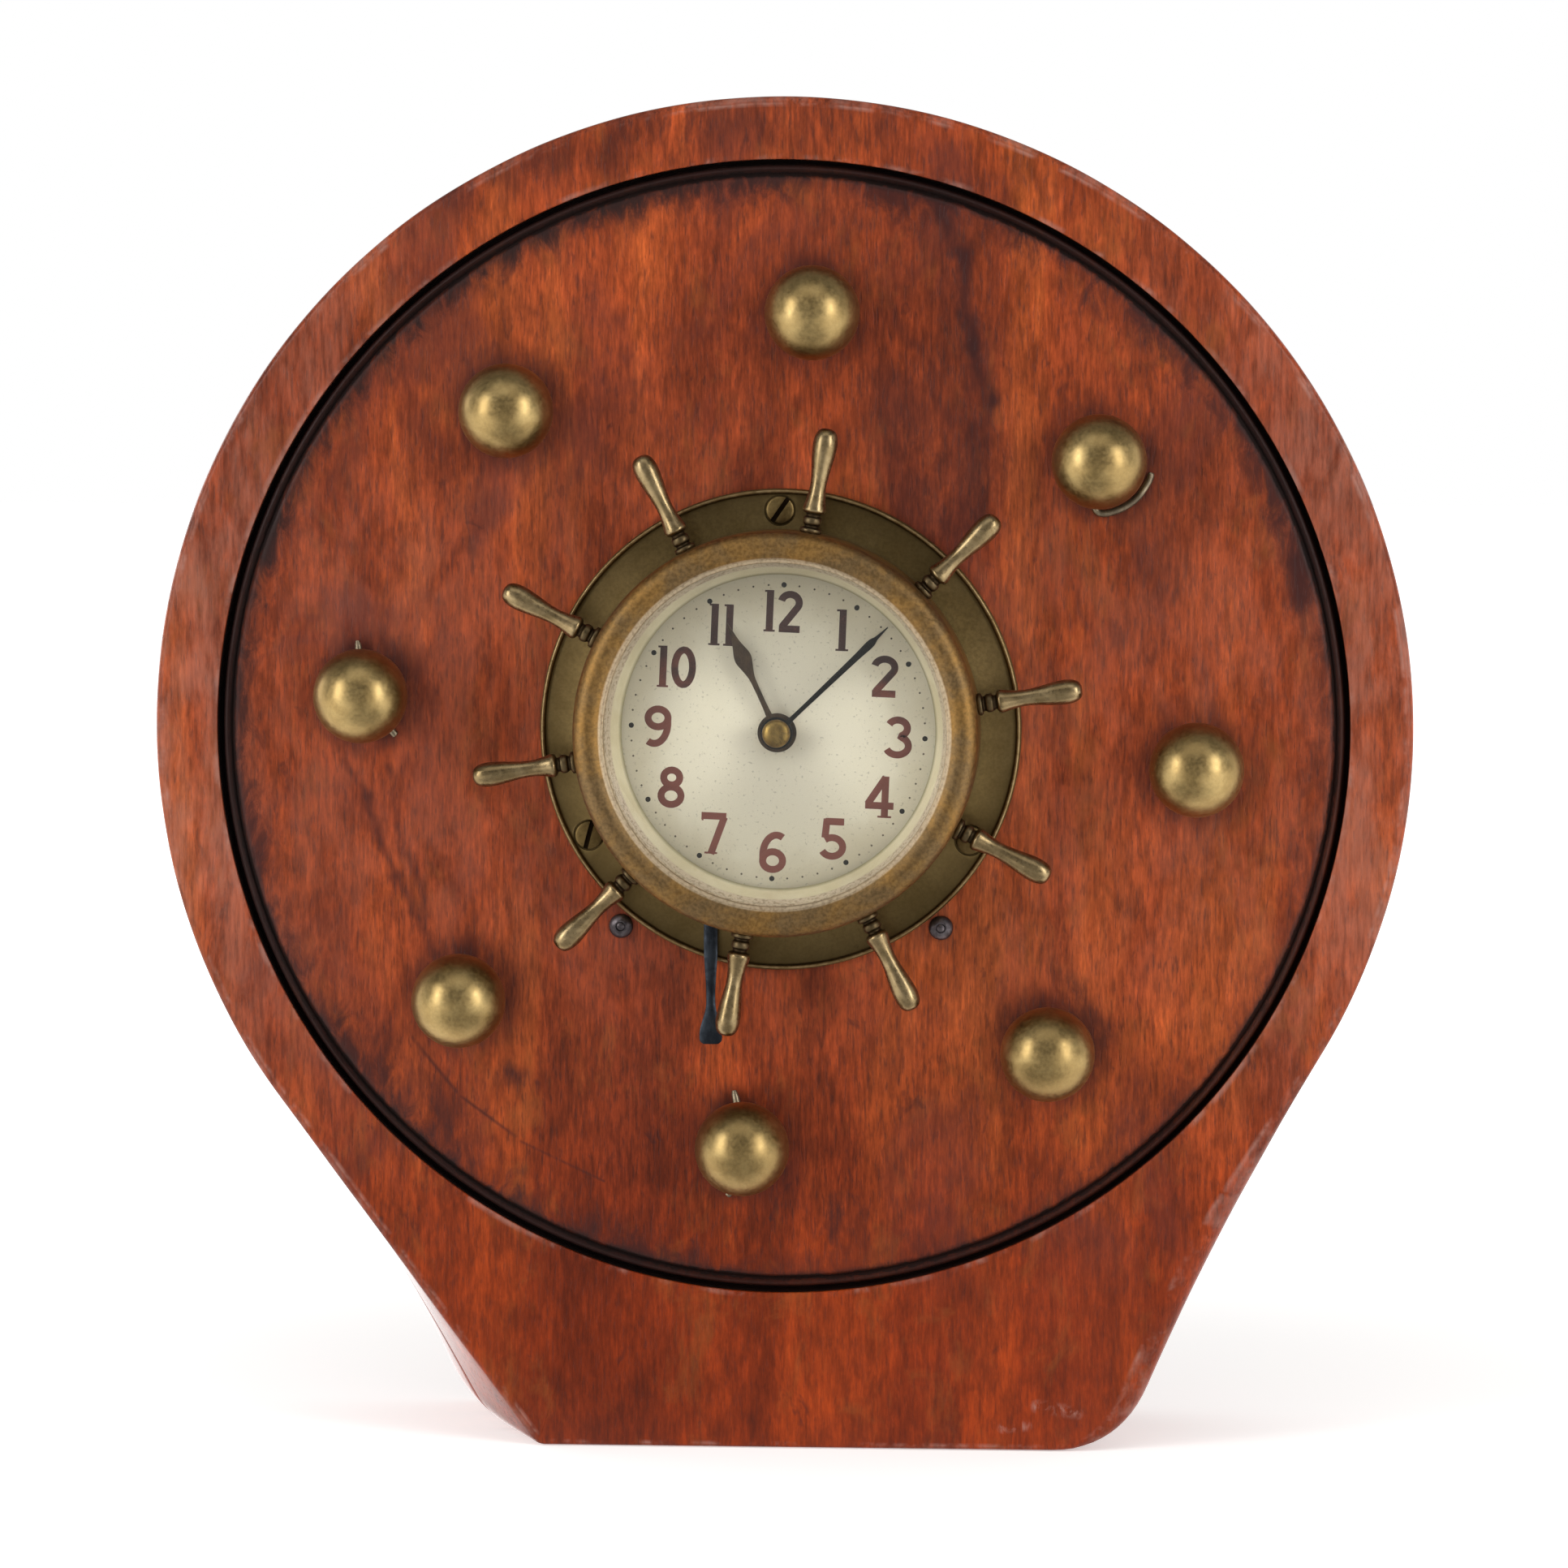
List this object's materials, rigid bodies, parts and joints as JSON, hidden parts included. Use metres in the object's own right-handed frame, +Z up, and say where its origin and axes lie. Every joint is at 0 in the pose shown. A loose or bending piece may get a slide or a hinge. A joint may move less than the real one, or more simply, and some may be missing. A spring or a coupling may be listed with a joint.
{
  "type": "propeller hub table clock",
  "caption": "Table clock in the sawn mahogany hub of a wooden propeller, with brass ball knobs and a ship's wheel rim that winds the clock.",
  "frame": {"origin": "middle of the object's box, on the surface that it stands on", "axes": "+Z up, +X to the right seen from the front, the dial faces -Y"},
  "size_m": [0.254, 0.0772, 0.273],
  "materials": {
    "mahogany": "old varnish over red-brown mahogany, grain upright, dark oil stains",
    "gilt_brass": "worn gilt brass, brown in the hollows",
    "dark_brass": "dark olive tarnish with a bright rubbed lip",
    "plain_brass": "plain machined brass",
    "bright_steel": "plain steel",
    "black_steel": "blackened steel",
    "blue_steel": "heat-blued spring steel",
    "clear_glass": "clear low-domed glass",
    "silvered_dial": "aged silvered cream dial with faded brown figures",
    "brown_hand": "brown bronzed steel"
  },
  "bodies": {
    "stand": {"front_board": "mahogany", "middle_board": "mahogany", "rear_board": "mahogany", "ball_knob_1": "gilt_brass", "ball_knob_2": "gilt_brass", "ball_knob_3": "gilt_brass", "ball_knob_4": "gilt_brass", "ball_knob_5": "gilt_brass", "ball_knob_6": "gilt_brass", "ball_knob_7": "gilt_brass", "ball_knob_8": "gilt_brass", "mount_flange": "dark_brass", "flange_screw_1": "dark_brass", "flange_screw_2": "dark_brass", "flange_screw_3": "dark_brass", "rest_pin_1": "black_steel", "rest_pin_2": "black_steel", "clock_case": "dark_brass", "case_back_cover": "plain_brass", "dial_plate": "plain_brass", "dial": "silvered_dial", "lever_screw": "bright_steel", "front_plate": "plain_brass", "back_plate": "plain_brass", "hairspring": "blue_steel"},
    "wheel": {"winding_rim": "gilt_brass", "wheel_handle_1": "gilt_brass", "wheel_handle_2": "gilt_brass", "wheel_handle_3": "gilt_brass", "wheel_handle_4": "gilt_brass", "wheel_handle_5": "gilt_brass", "wheel_handle_6": "gilt_brass", "wheel_handle_7": "gilt_brass", "wheel_handle_8": "gilt_brass", "wheel_handle_9": "gilt_brass", "wheel_handle_10": "gilt_brass", "crystal": "clear_glass", "sight_ring": "plain_brass"},
    "idler": {"winding_idler": "bright_steel"},
    "winding_arbor": {"barrel_arbor": "bright_steel", "winding_wheel": "bright_steel", "ratchet_wheel": "bright_steel"},
    "click": {"click": "bright_steel"},
    "minute_hand": {"minute_hand": "black_steel", "hand_cap": "plain_brass", "cannon_pinion": "bright_steel"},
    "minute_wheel": {"minute_wheel": "plain_brass"},
    "hour_hand": {"hour_hand": "brown_hand", "hour_wheel": "plain_brass"},
    "lever": {"setting_lever": "blue_steel"},
    "barrel": {"mainspring_barrel": "plain_brass", "mainspring": "blue_steel"},
    "centre_wheel": {"centre_wheel": "plain_brass"},
    "third_wheel": {"third_wheel": "plain_brass"},
    "fourth_wheel": {"fourth_wheel": "plain_brass"},
    "escape_wheel": {"escape_wheel": "plain_brass"},
    "pallets": {"pallet_lever": "bright_steel"},
    "balance": {"balance_wheel": "plain_brass"}
  },
  "joints": [
    {"name": "wheel_turn", "type": "hinge", "parent": "stand", "child": "wheel", "pos_m": [0, 0, 0.146], "axis": [0, 1, 0], "continuous": true},
    {"name": "idler_turn", "type": "hinge", "parent": "stand", "child": "idler", "pos_m": [0.01577, 0, 0.17331], "axis": [0, 1, 0], "continuous": true},
    {"name": "winding_arbor_turn", "type": "hinge", "parent": "stand", "child": "winding_arbor", "pos_m": [0.00788, 0, 0.15965], "axis": [0, 1, 0], "continuous": true},
    {"name": "click_lift", "type": "hinge", "parent": "stand", "child": "click", "pos_m": [0.00615, 0, 0.1695], "axis": [0, -1, 0], "range_deg": [0, 12], "stiffness_Nm_per_rad": 0.005},
    {"name": "minute_hand_turn", "type": "hinge", "parent": "stand", "child": "minute_hand", "pos_m": [0, 0, 0.146], "axis": [0, 1, 0], "continuous": true},
    {"name": "minute_wheel_turn", "type": "hinge", "parent": "stand", "child": "minute_wheel", "pos_m": [-0.011, 0, 0.146], "axis": [0, 1, 0], "continuous": true},
    {"name": "hour_hand_turn", "type": "hinge", "parent": "stand", "child": "hour_hand", "pos_m": [0, 0, 0.146], "axis": [0, 1, 0], "continuous": true},
    {"name": "lever_swing", "type": "hinge", "parent": "stand", "child": "lever", "pos_m": [-0.0139, 0, 0.11998], "axis": [0, 1, 0], "range_deg": [0, 14]},
    {"name": "escape_wheel_turn", "type": "hinge", "parent": "stand", "child": "escape_wheel", "pos_m": [0.00302, 0, 0.13386], "axis": [0, 1, 0], "continuous": true},
    {"name": "fourth_wheel_turn", "type": "hinge", "parent": "stand", "child": "fourth_wheel", "pos_m": [-0.00429, 0, 0.13191], "axis": [0, 1, 0], "continuous": true},
    {"name": "third_wheel_turn", "type": "hinge", "parent": "stand", "child": "third_wheel", "pos_m": [-0.00885, 0, 0.13981], "axis": [0, 1, 0], "continuous": true},
    {"name": "centre_wheel_turn", "type": "hinge", "parent": "stand", "child": "centre_wheel", "pos_m": [0, 0, 0.146], "axis": [0, 1, 0], "continuous": true},
    {"name": "barrel_turn", "type": "hinge", "parent": "stand", "child": "barrel", "pos_m": [0.00788, 0, 0.15965], "axis": [0, 1, 0], "continuous": true},
    {"name": "pallet_swing", "type": "hinge", "parent": "stand", "child": "pallets", "pos_m": [0.01016, 0, 0.13578], "axis": [0, 1, 0], "range_deg": [-5, 5]},
    {"name": "balance_swing", "type": "hinge", "parent": "stand", "child": "balance", "pos_m": [0.01808, 0, 0.1379], "axis": [0, 1, 0], "range_deg": [-220, 220], "stiffness_Nm_per_rad": 0.00001}
  ],
  "couplings": [
    {"joint": "idler_turn", "follows": "wheel_turn", "ratio": 6},
    {"joint": "winding_arbor_turn", "follows": "wheel_turn", "ratio": -4},
    {"joint": "minute_wheel_turn", "follows": "minute_hand_turn", "ratio": -0.33333},
    {"joint": "hour_hand_turn", "follows": "minute_hand_turn", "ratio": 0.083333},
    {"joint": "fourth_wheel_turn", "follows": "escape_wheel_turn", "ratio": -0.16667},
    {"joint": "third_wheel_turn", "follows": "escape_wheel_turn", "ratio": 0.02381},
    {"joint": "centre_wheel_turn", "follows": "escape_wheel_turn", "ratio": -0.0029762},
    {"joint": "barrel_turn", "follows": "escape_wheel_turn", "ratio": 0.00049603}
  ]
}
